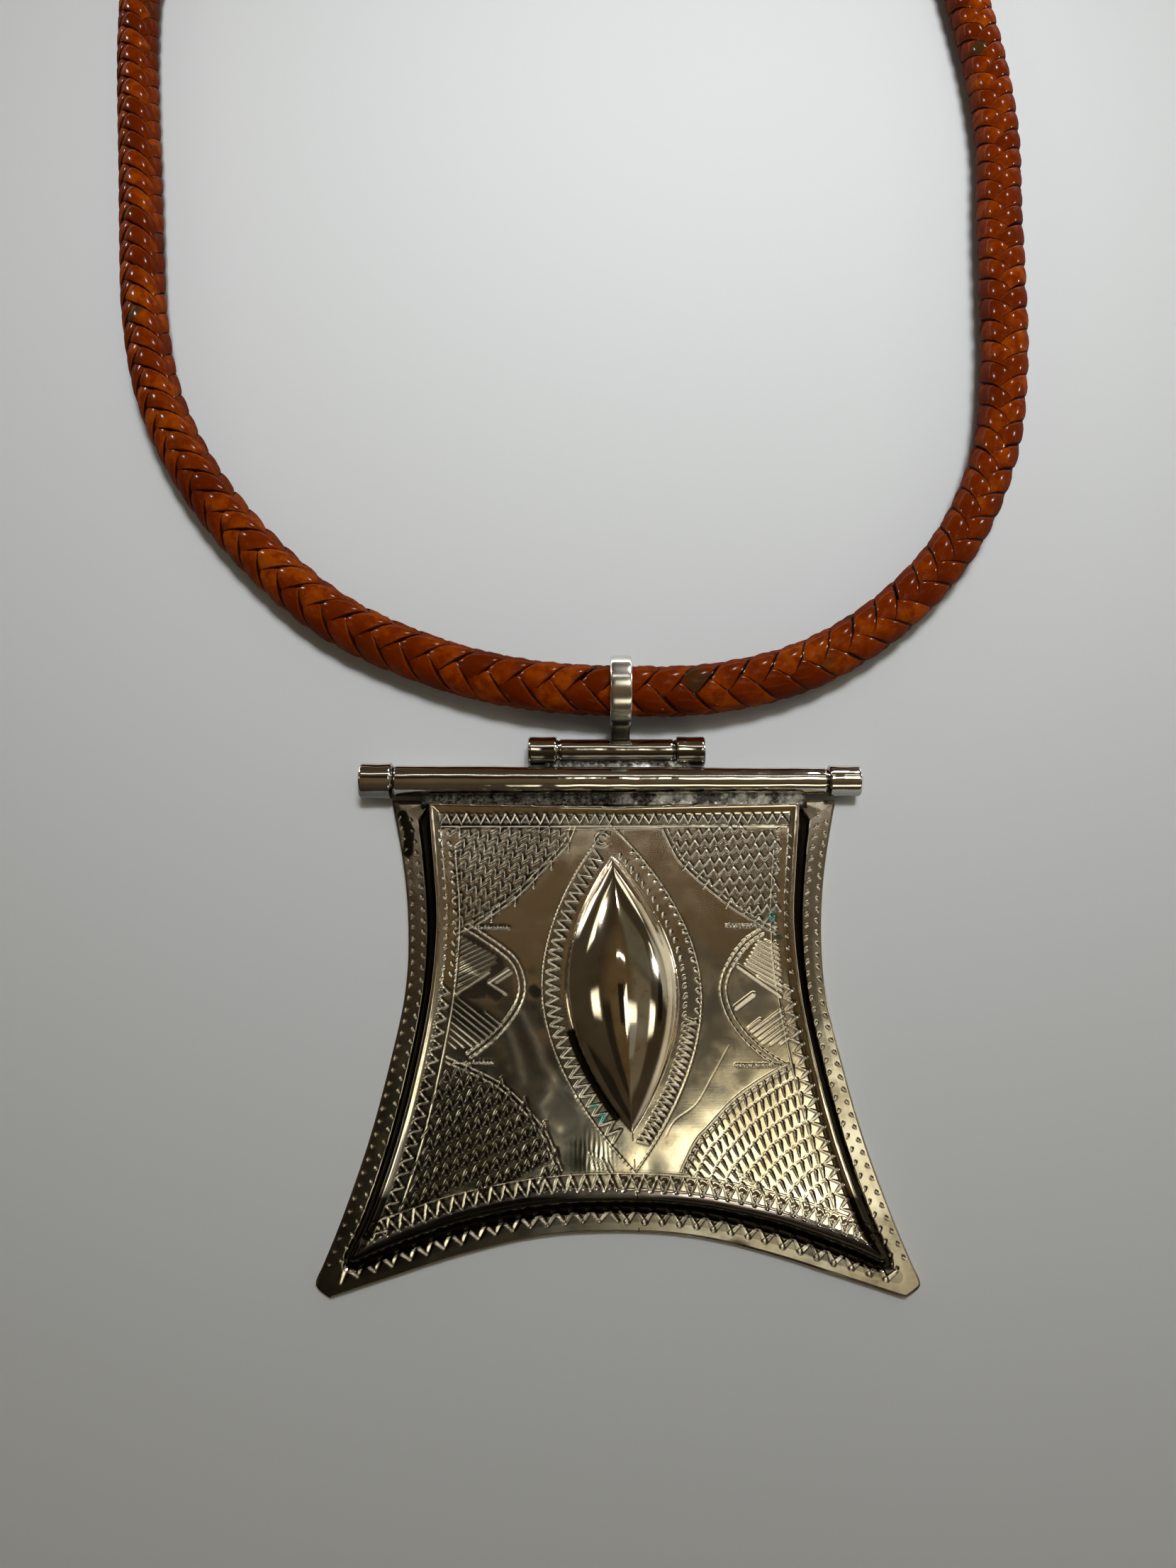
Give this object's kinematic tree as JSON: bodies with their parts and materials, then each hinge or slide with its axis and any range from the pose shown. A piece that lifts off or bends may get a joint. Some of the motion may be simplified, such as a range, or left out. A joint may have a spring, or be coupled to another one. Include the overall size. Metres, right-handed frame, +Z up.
{
  "type": "tuareg amulet necklace",
  "caption": "Silver box amulet with a raised engraved panel, pointed boss and tube top, hung by a strip bail on a round plaited leather cord that a barrel clasp closes.",
  "frame": {"origin": "on the flat back of the pendant's plate, which lies on the surface, a little below the middle of the plate", "axes": "+Y from the pendant to the back of the neck, +X to the wearer's left as the pendant's face is seen, +Z up from the surface, out of the pendant's face"},
  "size_m": [0.1656, 0.3036, 0.01],
  "materials": {
    "old_silver": "hand-worked silver, engraved, worn bright on the high places and black in the grooves",
    "plaited_leather": "varnished orange-brown leather strands with dark seams and stains",
    "plain_silver": "plain silver, satin, lightly scratched"
  },
  "bodies": {
    "root": {"amulet": "old_silver", "leather_cord": "plaited_leather", "barrel_clasp": "plain_silver"}
  },
  "joints": []
}
